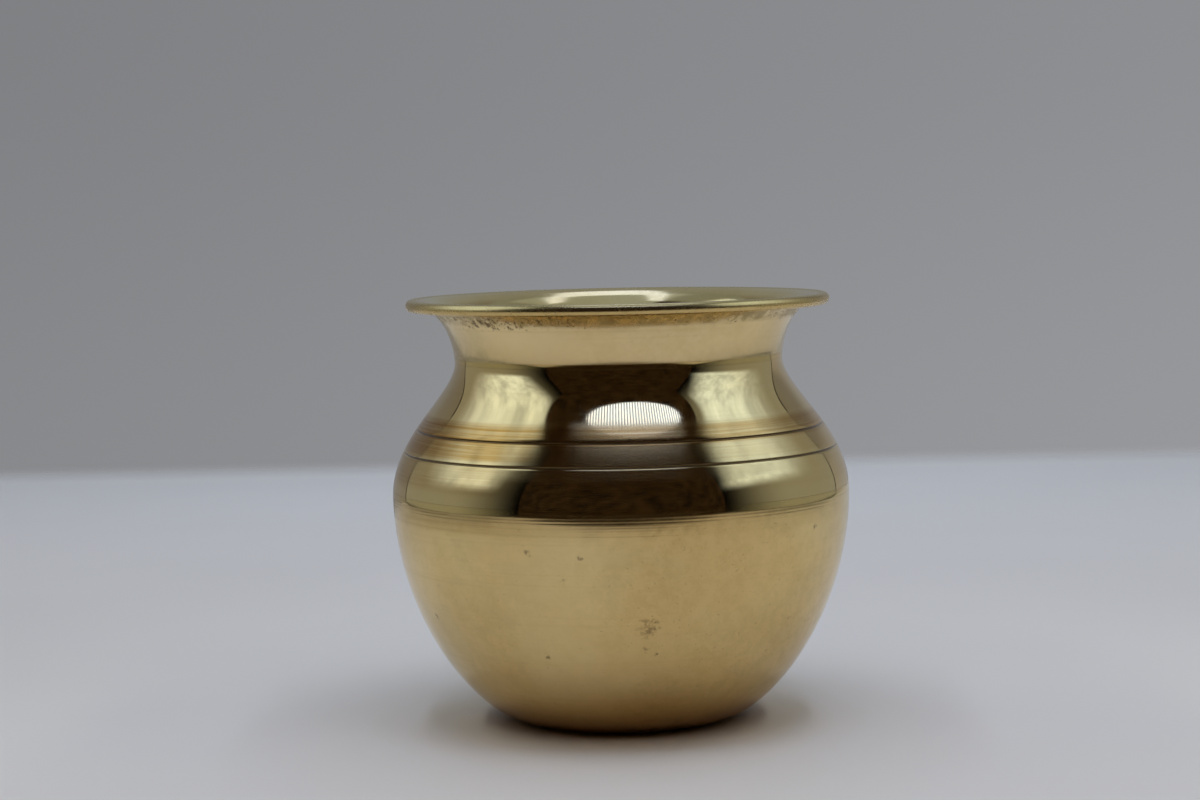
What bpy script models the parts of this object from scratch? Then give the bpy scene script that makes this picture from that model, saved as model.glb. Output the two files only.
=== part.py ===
"""Brass lota: a round water pot of sheet brass, lapped and brazed together, with a wired rim.

Metres, +Z up. The origin is the middle of the flat standing face, on the axis of turning.
A piece is drawn as a half section of (radius, height) points and turned about the axis.
"""

from math import cos, pi, radians, sin, sqrt

import bmesh
import bpy
from mathutils import Vector

# Heights of the outline, stacked from the standing face upwards
LOWER_HEIGHT = 0.0538  # standing face to the widest point of the belly
SHOULDER_HEIGHT = 0.0316  # widest point to the narrowest point of the neck
MOUTH_HEIGHT = 0.0146  # narrowest point to the top of the rim

# Outer radii of the outline
BASE_RADIUS = 0.0213  # edge of the flat standing face
BELLY_RADIUS = 0.0540
NECK_RADIUS = 0.0387
RIM_RADIUS = 0.0499  # outermost edge of the rolled rim

# Roundness of the outline: the heel arc, then how far each curve keeps to its end direction
HEEL_RADIUS = 0.0173
HEEL_TURN_DEGREES = 36.7
LOWER_START_PULL = 0.0150
LOWER_END_PULL = 0.0210
SHOULDER_START_PULL = 0.0140
SHOULDER_END_PULL = 0.0073
FLARE_START_PULL = 0.0041
FLARE_END_PULL = 0.0078
FLARE_ANGLE_DEGREES = 20.0  # slope of the mouth where it runs into the rim

# Metal
SHEET = 0.0010  # wall of the bowl and the shoulder
COLLAR_SHEET = 0.0006  # wall of the mouth, thinned where it is rolled over
WIRE_RADIUS = 0.0005
DISC_EDGE = 0.0010  # thickness of the base disc over its seat

# Joints
JOINT_GAP = 0.0003
WIRE_CLEARANCE = 0.00025
LAP_HEIGHT = 0.0040  # how far a tongue reaches up inside the piece above it
SEAT_WIDTH = 0.0050  # ledge turned in under the bowl, which carries the base disc
BASE_FILLET_REACH = 0.0025
CURL_TURN_DEGREES = 275.0  # how far the rim's edge is rolled round its wire

# Two lines cut round the shoulder
LINE_RISE = 0.0106  # from the widest point up to the lower line
LINE_SPACING = 0.0051
LINE_WIDTH = 0.0007
LINE_DEPTH = 0.0003

# Fineness of the solids
AROUND_STEPS = 48
HEEL_STEPS = 3
LOWER_STEPS = 8
SHOULDER_STEPS = 4  # in each of the three stretches that the two lines leave
FLARE_STEPS = 6
LAP_STEPS = 2
CURL_STEPS = 10
WIRE_STEPS = 8
SHARP_DEGREES = 35.0

BELLY_Z = LOWER_HEIGHT
NECK_Z = BELLY_Z + SHOULDER_HEIGHT
RIM_Z = NECK_Z + MOUTH_HEIGHT


def section_point(radius, height):
    """Return one point of a half section."""
    return Vector((radius, height))


def cubic(start, start_pull, end_pull, end):
    """Return a curve, as a function of the share 0 to 1 of the way along it."""

    def at(share):
        rest = 1.0 - share
        near = start * rest**3 + start_pull * (3.0 * rest**2 * share)
        return near + end_pull * (3.0 * rest * share**2) + end * share**3

    return at


def sampled(curve, steps, first=0.0, last=1.0):
    """Return evenly spread points of a curve, with both ends."""
    return [curve(first + (last - first) * step / steps) for step in range(steps + 1)]


def share_at_height(curve, height):
    """Return how far along a rising curve a height is reached."""
    low, high = 0.0, 1.0
    for _ in range(40):
        middle = (low + high) / 2.0
        if curve(middle).y < height:
            low = middle
        else:
            high = middle
    return (low + high) / 2.0


def arc(centre, radius, start, turn, steps):
    """Return points round a centre, turning clockwise from a start angle."""
    angles = [start - turn * step / steps for step in range(steps + 1)]
    return [centre + radius * Vector((cos(angle), sin(angle))) for angle in angles]


def left_of(start, end):
    """Return the unit direction on the left of a step, which is the inside of a wall drawn upwards."""
    along = (end - start).normalized()
    return Vector((-along.y, along.x))


def parallel(path, distance):
    """Return a path moved to its left, with mitred corners."""
    sides = [left_of(start, end) for start, end in zip(path, path[1:])]
    moved = []
    for point, before, after in zip(path, sides[:1] + sides, sides + sides[-1:]):
        mitre = (before + after).normalized()
        moved.append(point + mitre * (distance / mitre.dot(after)))
    return moved


def sheet(path, thickness):
    """Return the closed half section of sheet metal whose outer side is a path."""
    return path + parallel(path, thickness)[::-1]


# Outline of the vessel
HEEL_TURN = radians(HEEL_TURN_DEGREES)
HEEL_CENTRE = section_point(BASE_RADIUS, HEEL_RADIUS)
HEEL_END = HEEL_CENTRE + HEEL_RADIUS * Vector((sin(HEEL_TURN), -cos(HEEL_TURN)))
HEEL_DIRECTION = Vector((cos(HEEL_TURN), sin(HEEL_TURN)))
BELLY = section_point(BELLY_RADIUS, BELLY_Z)
NECK = section_point(NECK_RADIUS, NECK_Z)
UP = Vector((0.0, 1.0))

CURL_RADIUS = WIRE_RADIUS + WIRE_CLEARANCE
BEAD_RADIUS = CURL_RADIUS + COLLAR_SHEET
BEAD_CENTRE = section_point(RIM_RADIUS - BEAD_RADIUS, RIM_Z - BEAD_RADIUS)
FLARE_ANGLE = radians(FLARE_ANGLE_DEGREES)
FLARE_DIRECTION = Vector((cos(FLARE_ANGLE), sin(FLARE_ANGLE)))
CURL_START = FLARE_ANGLE + pi / 2.0
CURL_TURN = radians(CURL_TURN_DEGREES)
FLARE_END = BEAD_CENTRE + CURL_RADIUS * Vector((cos(CURL_START), sin(CURL_START)))

LOWER_CURVE = cubic(
    HEEL_END,
    HEEL_END + HEEL_DIRECTION * LOWER_START_PULL,
    BELLY - UP * LOWER_END_PULL,
    BELLY,
)
SHOULDER_CURVE = cubic(
    BELLY,
    BELLY + UP * SHOULDER_START_PULL,
    NECK - UP * SHOULDER_END_PULL,
    NECK,
)
FLARE_CURVE = cubic(
    NECK,
    NECK + UP * FLARE_START_PULL,
    FLARE_END - FLARE_DIRECTION * FLARE_END_PULL,
    FLARE_END,
)


def lap_step(upper_sheet):
    """Return how far a tongue steps in to pass inside the sheet above it."""
    return upper_sheet + JOINT_GAP


def upper_edge(seam_height, upper_sheet):
    """Return the height of the lower edge of the piece above a lapped seam."""
    return seam_height + lap_step(upper_sheet) + JOINT_GAP


def tongue(curve, seam_height, upper_sheet):
    """Return the outer side of a tongue, which follows the inside of the piece above."""
    step_in = lap_step(upper_sheet)
    low = share_at_height(curve, seam_height + step_in)
    high = share_at_height(curve, seam_height + step_in + LAP_HEIGHT)
    return parallel(sampled(curve, LAP_STEPS, low, high), step_in)


def seam_braze(seam_radius, seam_height, upper_sheet):
    """Return the half section of the filler in the notch outside a lapped seam."""
    slope_clearance = JOINT_GAP * sqrt(2.0)
    low = seam_height + slope_clearance
    high = upper_edge(seam_height, upper_sheet) - JOINT_GAP
    return [
        section_point(seam_radius, low),
        section_point(seam_radius, high),
        section_point(seam_radius - (high - low), high),
    ]


def base_disc_section():
    """Return the stepped disc that fills the opening in the bowl's underside."""
    plug_radius = BASE_RADIUS - SEAT_WIDTH - JOINT_GAP
    seat_height = SHEET + JOINT_GAP
    top = seat_height + DISC_EDGE
    return [
        section_point(0.0, 0.0),
        section_point(plug_radius, 0.0),
        section_point(plug_radius, seat_height),
        section_point(BASE_RADIUS, seat_height),
        section_point(BASE_RADIUS, top),
        section_point(0.0, top),
    ]


def base_braze_section():
    """Return the fillet between the edge of the base disc and the wall of the bowl."""
    inside_radius = HEEL_RADIUS - SHEET - JOINT_GAP

    def wall_height(reach):
        return HEEL_RADIUS - sqrt(inside_radius**2 - reach**2)

    near = JOINT_GAP
    far = near + BASE_FILLET_REACH
    return [
        section_point(BASE_RADIUS + near, wall_height(near)),
        section_point(BASE_RADIUS + far, wall_height(far)),
        section_point(BASE_RADIUS + near, SHEET + JOINT_GAP + DISC_EDGE),
    ]


def lower_bowl_section():
    """Return the bowl: its ledge, heel and wall, and the tongue that enters the shoulder."""
    ledge = [section_point(BASE_RADIUS - SEAT_WIDTH, 0.0)]
    heel = arc(HEEL_CENTRE, HEEL_RADIUS, -pi / 2.0, -HEEL_TURN, HEEL_STEPS)
    wall = sampled(LOWER_CURVE, LOWER_STEPS)
    return sheet(ledge + heel + wall[1:] + tongue(SHOULDER_CURVE, BELLY_Z, SHEET), SHEET)


def shoulder_section():
    """Return the shoulder: its wall, cut with two lines, and the tongue that enters the mouth."""
    tongue_side = tongue(FLARE_CURVE, NECK_Z, COLLAR_SHEET)
    share = share_at_height(SHOULDER_CURVE, upper_edge(BELLY_Z, SHEET))
    smooth = sampled(SHOULDER_CURVE, 3 * SHOULDER_STEPS, share) + tongue_side
    cut = []
    for height in (BELLY_Z + LINE_RISE, BELLY_Z + LINE_RISE + LINE_SPACING):
        below = share_at_height(SHOULDER_CURVE, height - LINE_WIDTH / 2.0)
        above = share_at_height(SHOULDER_CURVE, height + LINE_WIDTH / 2.0)
        lips = [SHOULDER_CURVE(below), SHOULDER_CURVE(above)]
        root = (lips[0] + lips[1]) / 2.0 + left_of(*lips) * LINE_DEPTH
        cut += sampled(SHOULDER_CURVE, SHOULDER_STEPS, share, below) + [root]
        share = above
    cut += sampled(SHOULDER_CURVE, SHOULDER_STEPS, share) + tongue_side
    return cut + parallel(smooth, SHEET)[::-1]


def collar_section():
    """Return the flared mouth, its edge rolled outwards round the wire."""
    share = share_at_height(FLARE_CURVE, upper_edge(NECK_Z, COLLAR_SHEET))
    flare = sampled(FLARE_CURVE, FLARE_STEPS, share)
    wire_side = arc(BEAD_CENTRE, CURL_RADIUS, CURL_START, CURL_TURN, CURL_STEPS)
    outer_side = arc(BEAD_CENTRE, BEAD_RADIUS, CURL_START, CURL_TURN, CURL_STEPS)
    inside = parallel(flare, COLLAR_SHEET)[:-1]
    return flare + wire_side[1:] + outer_side[::-1] + inside[::-1]


def wire_section():
    """Return the round section of the rim's wire."""
    return arc(BEAD_CENTRE, WIRE_RADIUS, 0.0, 2.0 * pi, WIRE_STEPS)[:-1]


def brass(name, colour, roughness):
    """Return a brass material with its own colour and polish."""
    material = bpy.data.materials.new(name)
    material.use_nodes = True
    shader = material.node_tree.nodes["Principled BSDF"]
    shader.inputs["Base Color"].default_value = (*colour, 1.0)
    shader.inputs["Metallic"].default_value = 1.0
    shader.inputs["Roughness"].default_value = roughness
    return material


def turned(name, section, seat_height, parent, material):
    """Add one piece: its half section turned about the axis, standing at its seat's height."""
    shape = bmesh.new()
    points = [shape.verts.new((point.x, 0.0, point.y - seat_height)) for point in section]
    ends_on_axis = section[0].x == 0.0 and section[-1].x == 0.0
    following = points[1:] if ends_on_axis else points[1:] + points[:1]
    edges = [shape.edges.new(pair) for pair in zip(points, following)]
    bmesh.ops.spin(
        shape,
        geom=points + edges,
        cent=(0.0, 0.0, 0.0),
        axis=(0.0, 0.0, 1.0),
        angle=2.0 * pi,
        steps=AROUND_STEPS,
        use_merge=True,
    )
    bmesh.ops.remove_doubles(shape, verts=shape.verts, dist=1e-6)
    bmesh.ops.recalc_face_normals(shape, faces=shape.faces)
    mesh = bpy.data.meshes.new(name)
    shape.to_mesh(mesh)
    shape.free()
    mesh.shade_smooth()
    mesh.set_sharp_from_angle(angle=radians(SHARP_DEGREES))
    mesh.materials.append(material)
    piece = bpy.data.objects.new(name, mesh)
    piece.location.z = seat_height
    piece.parent = parent
    bpy.context.scene.collection.objects.link(piece)


def main():
    """Clear the scene and build the lota from its base to its rim."""
    for old in list(bpy.data.objects):
        bpy.data.objects.remove(old)
    lota = bpy.data.objects.new("lota", None)
    bpy.context.scene.collection.objects.link(lota)

    pale_brass = (0.66, 0.50, 0.24)
    deep_brass = (0.60, 0.42, 0.18)
    filler_brass = (0.70, 0.52, 0.22)
    pieces = [
        ("base_disc", base_disc_section(), 0.0, deep_brass, 0.35),
        ("base_braze", base_braze_section(), SHEET, filler_brass, 0.45),
        ("lower_bowl", lower_bowl_section(), 0.0, pale_brass, 0.25),
        ("belly_braze", seam_braze(BELLY_RADIUS, BELLY_Z, SHEET), BELLY_Z, filler_brass, 0.35),
        ("shoulder", shoulder_section(), BELLY_Z, deep_brass, 0.20),
        ("neck_braze", seam_braze(NECK_RADIUS, NECK_Z, COLLAR_SHEET), NECK_Z, filler_brass, 0.35),
        ("mouth_collar", collar_section(), NECK_Z, pale_brass, 0.25),
        ("rim_wire", wire_section(), BEAD_CENTRE.y, deep_brass, 0.40),
    ]
    for name, section, seat_height, colour, roughness in pieces:
        turned(name, section, seat_height, lota, brass(name + "_brass", colour, roughness))


if __name__ == "__main__":
    main()
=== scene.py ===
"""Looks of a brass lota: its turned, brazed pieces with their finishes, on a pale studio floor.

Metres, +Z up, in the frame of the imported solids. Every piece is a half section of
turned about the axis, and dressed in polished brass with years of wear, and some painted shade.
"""

import logging
import math
from abc import ABC, abstractmethod
from dataclasses import dataclass, replace
from enum import Enum
from itertools import accumulate
from typing import Any, Callable, Sequence

import bmesh
import bpy
from mathutils import Matrix, Vector


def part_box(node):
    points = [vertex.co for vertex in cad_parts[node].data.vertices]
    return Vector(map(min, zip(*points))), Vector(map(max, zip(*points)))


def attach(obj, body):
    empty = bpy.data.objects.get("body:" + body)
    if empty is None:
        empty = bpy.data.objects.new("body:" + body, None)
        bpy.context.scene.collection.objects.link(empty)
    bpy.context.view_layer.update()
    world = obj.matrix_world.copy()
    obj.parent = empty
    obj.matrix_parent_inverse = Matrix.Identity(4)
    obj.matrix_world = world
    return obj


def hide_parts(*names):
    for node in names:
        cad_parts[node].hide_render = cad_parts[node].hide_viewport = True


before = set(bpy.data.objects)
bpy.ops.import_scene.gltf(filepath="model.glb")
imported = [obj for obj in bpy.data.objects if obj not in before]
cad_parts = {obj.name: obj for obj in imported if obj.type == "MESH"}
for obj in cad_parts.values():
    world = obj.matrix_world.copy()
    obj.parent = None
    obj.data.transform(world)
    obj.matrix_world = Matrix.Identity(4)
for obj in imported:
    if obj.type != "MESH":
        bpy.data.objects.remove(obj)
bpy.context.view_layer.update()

LOG = logging.getLogger("lota")
QUARTER_TURN = math.pi / 2.0
LEVEL = (1.0, 1.0, 0.0)
BLACK = (0.0, 0.0, 0.0)

Colour = tuple[float, float, float]
Triple = tuple[float, float, float]
Span = tuple[float, float]
Curve = Callable[[float], Vector]
Path = list[Vector]
Settings = dict[str, Any] | None
Values = dict[str | int, Any] | None


class Face(Enum):
    """Which side of the metal a stretch of a half section is, as its material slot."""

    OUTSIDE = 0
    INSIDE = 1


class Measure(Enum):
    """What a band of wear is measured by: the height, or the distance from the axis."""

    HEIGHT = "height"
    RADIUS = "radius"


class Stage(Enum):
    """What a stage card is for."""

    FLOOR = "seen by all, and takes shadows"
    FLAG = "keeps light out, and is hidden from the camera"
    FILL = "lights the floor, and is hidden from the camera and the metal"
    SHEEN = "is mirrored in the metal, and is hidden from the camera and the floor"


# Shader maths


class Wire:
    """A value on a node's output, with operators that add Math nodes."""

    def __init__(self, graph: "Graph", socket: bpy.types.NodeSocket | None) -> None:
        """Keep the graph and the output socket."""
        self.graph = graph
        self.socket = socket

    def __add__(self, other: "Wire | float") -> "Wire":
        """Return the sum."""
        return self.graph.maths("ADD", self, other)

    def __radd__(self, other: float) -> "Wire":
        """Return the sum, with a number first."""
        return self.graph.maths("ADD", other, self)

    def __sub__(self, other: "Wire | float") -> "Wire":
        """Return the difference."""
        return self.graph.maths("SUBTRACT", self, other)

    def __rsub__(self, other: float) -> "Wire":
        """Return the difference, with a number first."""
        return self.graph.maths("SUBTRACT", other, self)

    def __mul__(self, other: "Wire | float") -> "Wire":
        """Return the product."""
        return self.graph.maths("MULTIPLY", self, other)

    def __rmul__(self, other: float) -> "Wire":
        """Return the product, with a number first."""
        return self.graph.maths("MULTIPLY", other, self)

    def __truediv__(self, other: "Wire | float") -> "Wire":
        """Return the quotient."""
        return self.graph.maths("DIVIDE", self, other)

    def __rtruediv__(self, other: float) -> "Wire":
        """Return the quotient, with a number first."""
        return self.graph.maths("DIVIDE", other, self)

    def __abs__(self) -> "Wire":
        """Return the size without its sign."""
        return self.graph.maths("ABSOLUTE", self)

    def clipped(self) -> "Wire":
        """Return the value kept from 0 to 1."""
        return self.graph.maths("MAXIMUM", self.graph.maths("MINIMUM", self, 1.0), 0.0)

    def at_least(self, least: float) -> "Wire":
        """Return a value of 0 to 1, squeezed so that it starts at the least one."""
        return self * (1.0 - least) + least

    def rising(self, low: float, high: float) -> "Wire":
        """Turn the value into a soft step.

        Args:
            low: Where the step starts, at 0.
            high: Where the step ends, at 1.

        Returns:
            The step, which falls instead where low is above high.
        """
        values = {"Value": self, "From Min": min(low, high), "From Max": max(low, high)}
        step = self.graph.node("ShaderNodeMapRange", {"interpolation_type": "SMOOTHSTEP"}, values)
        return step if low < high else 1.0 - step

    def band(self, middle: float, half_width: float, softness: float) -> "Wire":
        """Return 1 near a value and 0 away from it.

        Args:
            middle: The middle of the band.
            half_width: How far the full band reaches to either side.
            softness: How wide its soft edge is.

        Returns:
            The band's mask.
        """
        return abs(self - middle).rising(half_width + softness, half_width)


class Graph:
    """The node tree of a material or of the world, under construction."""

    def __init__(self, owner: bpy.types.ID) -> None:
        """Give the owner an empty tree.

        Args:
            owner: The material or the world.
        """
        owner.use_nodes = True
        self.tree = owner.node_tree
        self.tree.nodes.clear()

    def node(
        self, kind: str, settings: Settings = None, values: Values = None, output: str | int = 0
    ) -> Wire:
        """Add a node.

        Args:
            kind: The node's type.
            settings: The node's own properties, set first.
            values: Numbers, colours or wires for its inputs, by name or place.
            output: The name or place of the output that is wanted.

        Returns:
            The output, as a wire, without a socket where the node has no outputs.
        """
        node = self.tree.nodes.new(kind)
        for name, setting in (settings or {}).items():
            setattr(node, name, setting)
        for key, value in (values or {}).items():
            if isinstance(value, Wire):
                self.tree.links.new(value.socket, node.inputs[key])
            else:
                node.inputs[key].default_value = value
        return Wire(self, node.outputs[output] if node.outputs else None)

    def maths(self, operation: str, *numbers: Wire | float) -> Wire:
        """Return the result of a Math node on numbers in order."""
        return self.node("ShaderNodeMath", {"operation": operation}, dict(enumerate(numbers)))

    def vectors(self, operation: str, *vectors: Wire | Triple, output: str = "Vector") -> Wire:
        """Return the result of a Vector Math node, whose number is its output Value."""
        values = dict(enumerate(vectors))
        return self.node("ShaderNodeVectorMath", {"operation": operation}, values, output)

    def part(self, vector: Wire, axis: str) -> Wire:
        """Return one part of a vector: X, Y or Z."""
        return self.node("ShaderNodeSeparateXYZ", None, {0: vector}, axis)

    def mixed(self, share: Wire, first: Wire | Colour, second: Wire | Colour) -> Wire:
        """Blend two colours.

        Args:
            share: How much of the second colour shows.
            first: The colour at 0.
            second: The colour at 1.

        Returns:
            The blended colour.
        """
        values = {0: share, 6: opaque(first), 7: opaque(second)}
        return self.node("ShaderNodeMix", {"data_type": "RGBA"}, values, 2)

    def noise(self, vector: Wire, scale: float, detail: float, rough: float) -> Wire:
        """Return a cloudy pattern of 0 to 1.

        Args:
            vector: Where the pattern is read.
            scale: How fine the pattern is, in clouds to the metre.
            detail: How many finer layers it has.
            rough: How strong the finer layers are.

        Returns:
            The pattern's value.
        """
        values = {"Vector": vector, "Scale": scale, "Detail": detail, "Roughness": rough}
        return self.node("ShaderNodeTexNoise", {"noise_dimensions": "3D"}, values)


def opaque(colour: Wire | Colour) -> Wire | tuple[float, ...]:
    """Return a colour with full alpha, or a wire as it is."""
    return colour if isinstance(colour, Wire) else (*colour, 1.0)


# Finishes


@dataclass(frozen=True)
class Place:
    """Where a point of a turned piece is, for its finish."""

    graph: Graph
    position: Wire
    height: Wire
    radius: Wire
    along: Wire
    around: Wire

    @classmethod
    def on(cls, graph: Graph, section_length: float) -> "Place":
        """Add the nodes that say where a point is.

        Args:
            graph: The material's graph.
            section_length: The length round the piece's half section.

        Returns:
            The place, with the length along the section and the direction round the axis.
        """
        position = graph.node("ShaderNodeTexCoord", output="Object")
        turned = graph.node("ShaderNodeTexCoord", output="UV")
        level = graph.vectors("MULTIPLY", position, LEVEL)
        return cls(
            graph,
            position,
            height=graph.part(position, "Z"),
            radius=graph.vectors("LENGTH", level, output="Value"),
            along=graph.part(turned, "Y") * section_length,
            around=graph.vectors("NORMALIZE", level),
        )

    def cloud(self, scale: float, detail: float, rough: float) -> Wire:
        """Return a cloudy pattern at the point, with the settings of Graph.noise."""
        return self.graph.noise(self.position, scale, detail, rough)

    def rings(self, across: float, round_axis: float, detail: float, rough: float) -> Wire:
        """Return a pattern of rings, which changes fast along the section and slowly round the axis.

        Args:
            across: Changes to the metre along the section.
            round_axis: Changes to each turn of one radian.
            detail: How many finer layers it has.
            rough: How strong the finer layers are.

        Returns:
            The pattern's value, 0 to 1.
        """
        turn = self.graph.vectors("MULTIPLY", self.around, (round_axis, round_axis, 0.0))
        climb = self.graph.node("ShaderNodeCombineXYZ", None, {"Z": self.along * across})
        return self.graph.noise(self.graph.vectors("ADD", turn, climb), 1.0, detail, rough)

    def facing(self, direction: Triple) -> Wire:
        """Return how squarely the point faces a direction round the axis, -1 to 1."""
        return self.graph.vectors("DOT_PRODUCT", self.around, direction, output="Value")


@dataclass(frozen=True)
class Look:
    """What a finish has come to so far: the values that reach the shader."""

    colour: Wire
    roughness: Wire
    metal: Wire
    relief: Wire
    brushed: Wire | None = None

    def stained_or_shaded(
        self, mask: Wire, share: float, tint: Colour, dulling: float, depth: float = 0.0
    ) -> "Look":
        """Return the look with a stain, or with painted shade, on it.

        Args:
            mask: Where the stain or painted shade is, 0 to 1.
            share: How much of its tint shows.
            tint: Its colour.
            dulling: How much roughness it adds.
            depth: How far it has eaten into the metal.

        Returns:
            The stained look.
        """
        return replace(
            self,
            colour=mask.graph.mixed(mask * share, self.colour, tint),
            roughness=self.roughness + mask * dulling,
            relief=self.relief - mask * depth if depth else self.relief,
        )


class Layer(ABC):
    """One thing that years of use, or the lathe, did to a surface, or shade painted into its colour."""

    @abstractmethod
    def over(self, place: Place, look: Look) -> Look:
        """Put this layer over a look.

        Args:
            place: Where the point is.
            look: The look so far.

        Returns:
            The new look.
        """


@dataclass(frozen=True)
class TurningMarks(Layer):
    """Fine rings that the lathe left, some deeper and duller than the rest."""

    depth: float = 1.6e-6
    pitch: float = 0.00045
    tint: Colour = (0.60, 0.40, 0.14)
    tint_share: float = 0.25
    broader: float = 0.16
    fine_share: float = 0.6
    deep_edges: Span = (0.52, 0.66)

    def over(self, place: Place, look: Look) -> Look:
        """Add rings to the relief, and a little warm colour in the deeper ones.

        Args:
            place: Where the point is.
            look: The look so far.

        Returns:
            The new look.
        """
        fine = place.rings(1.0 / self.pitch, round_axis=0.5, detail=2.0, rough=0.6)
        broad = place.rings(self.broader / self.pitch, round_axis=0.35, detail=2.0, rough=0.5)
        deep = (fine * self.fine_share + broad * (1.0 - self.fine_share)).rising(*self.deep_edges)
        relief = look.relief + fine * self.depth + broad * (self.depth * 2.0)
        return replace(look.stained_or_shaded(deep, self.tint_share, self.tint, dulling=0.03), relief=relief)


@dataclass(frozen=True)
class HandHaze(Layer):
    """Cloudy dulling from hands, washing and polish that was never wiped off evenly."""

    scale: float = 38.0
    dulling: float = 0.10
    tint: Colour = (0.56, 0.46, 0.24)
    tint_share: float = 0.30
    cloud_edges: Span = (0.44, 0.70)
    wipe_stretch: Triple = (1.0, 1.0, 2.4)
    wipe_finer: float = 3.1
    wipe_edges: Span = (0.30, 0.75)

    def over(self, place: Place, look: Look) -> Look:
        """Dull and grey the metal in soft clouds.

        Args:
            place: Where the point is.
            look: The look so far.

        Returns:
            The new look.
        """
        cloud = place.cloud(self.scale, detail=4.0, rough=0.6).rising(*self.cloud_edges)
        stretched = place.graph.vectors("MULTIPLY", place.position, self.wipe_stretch)
        wiped = place.graph.noise(stretched, self.scale * self.wipe_finer, detail=3.0, rough=0.55)
        haze = cloud * wiped.rising(*self.wipe_edges)
        return look.stained_or_shaded(haze, self.tint_share, self.tint, self.dulling)


@dataclass(frozen=True)
class Patina(Layer):
    """Broad brown and olive patches, with fine mottling and scattered specks in them."""

    scale: float = 21.0
    share: float = 0.40
    tint: Colour = (0.60, 0.42, 0.155)
    speck_tint: Colour = (0.24, 0.15, 0.06)
    speck_share: float = 0.36
    patch_edges: Span = (0.40, 0.68)
    mottle_finer: float = 16.0
    mottle_edges: Span = (0.36, 0.66)
    mottle_outside: float = 0.25
    grit_scale: float = 1500.0
    grit_in_patches: float = 0.06
    speck_edges: Span = (0.69, 0.78)

    def over(self, place: Place, look: Look) -> Look:
        """Brown the patches and scatter the specks.

        Args:
            place: Where the point is.
            look: The look so far.

        Returns:
            The new look.
        """
        patch = place.cloud(self.scale, detail=3.0, rough=0.6).rising(*self.patch_edges)
        mottle = place.cloud(self.scale * self.mottle_finer, detail=5.0, rough=0.70)
        mottle = mottle.rising(*self.mottle_edges)
        brown = patch * mottle.at_least(0.4) + mottle * self.mottle_outside
        grit = place.cloud(self.grit_scale, detail=2.0, rough=0.5) + patch * self.grit_in_patches
        specks = grit.rising(*self.speck_edges)
        share = self.speck_share
        browned = look.stained_or_shaded(brown, self.share, self.tint, dulling=0.05)
        return browned.stained_or_shaded(specks, share, self.speck_tint, dulling=share * 0.2, depth=share * 4.0e-6)


@dataclass(frozen=True)
class CutterMarks(Layer):
    """A belt of marks finer than the eye can see, which smear what it mirrors up and down."""

    middle: float
    half_width: float
    softness: float
    share: float = 0.70

    def over(self, place: Place, look: Look) -> Look:
        """Brush a share of the belt's surface."""
        reach = place.height.band(self.middle, self.half_width, self.softness)
        return replace(look, brushed=reach * self.share)


@dataclass(frozen=True)
class RingStain(Layer):
    """A band of brown rings, where polish never reached the bottom of the turning marks."""

    middle: float
    half_width: float
    softness: float
    pitch: float = 0.0006
    share: float = 0.95
    least: float = 0.22
    tint: Colour = (0.45, 0.22, 0.035)
    thickest_towards: Triple = (-1.0, 0.1, 0.0)
    streak_edges: Span = (0.30, 0.58)
    streak_least: float = 0.45
    stretch_scale: float = 2.1
    stretch_edges: Span = (0.28, 0.56)

    def over(self, place: Place, look: Look) -> Look:
        """Stain some of the rings in the band, in broken stretches.

        Args:
            place: Where the point is.
            look: The look so far.

        Returns:
            The new look.
        """
        ring = place.rings(1.0 / self.pitch, round_axis=0.9, detail=3.0, rough=0.7)
        streaks = ring.rising(*self.streak_edges).at_least(self.streak_least)
        patch = place.graph.noise(place.around, self.stretch_scale, detail=3.0, rough=0.6)
        stretch = patch * 0.7 + place.facing(self.thickest_towards) * 0.3
        reach = place.height.band(self.middle, self.half_width, self.softness)
        stain = streaks * reach * stretch.rising(*self.stretch_edges).at_least(self.least)
        return look.stained_or_shaded(stain, self.share, self.tint, dulling=0.05)


@dataclass(frozen=True)
class CutLineDarkening(Layer):
    """Dark, dull colour laid along a cut line."""

    height: float
    half_width: float
    tint: Colour = (0.075, 0.042, 0.017)
    full_share: float = 0.5
    soft_share: float = 0.4

    def over(self, place: Place, look: Look) -> Look:
        """Darken and dull the line.

        Args:
            place: Where the point is.
            look: The look so far.

        Returns:
            The new look.
        """
        full, soft = self.half_width * self.full_share, self.half_width * self.soft_share
        line_dark = place.height.band(self.height, full, soft)
        return look.stained_or_shaded(line_dark, share=0.94, tint=self.tint, dulling=0.25)


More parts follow.
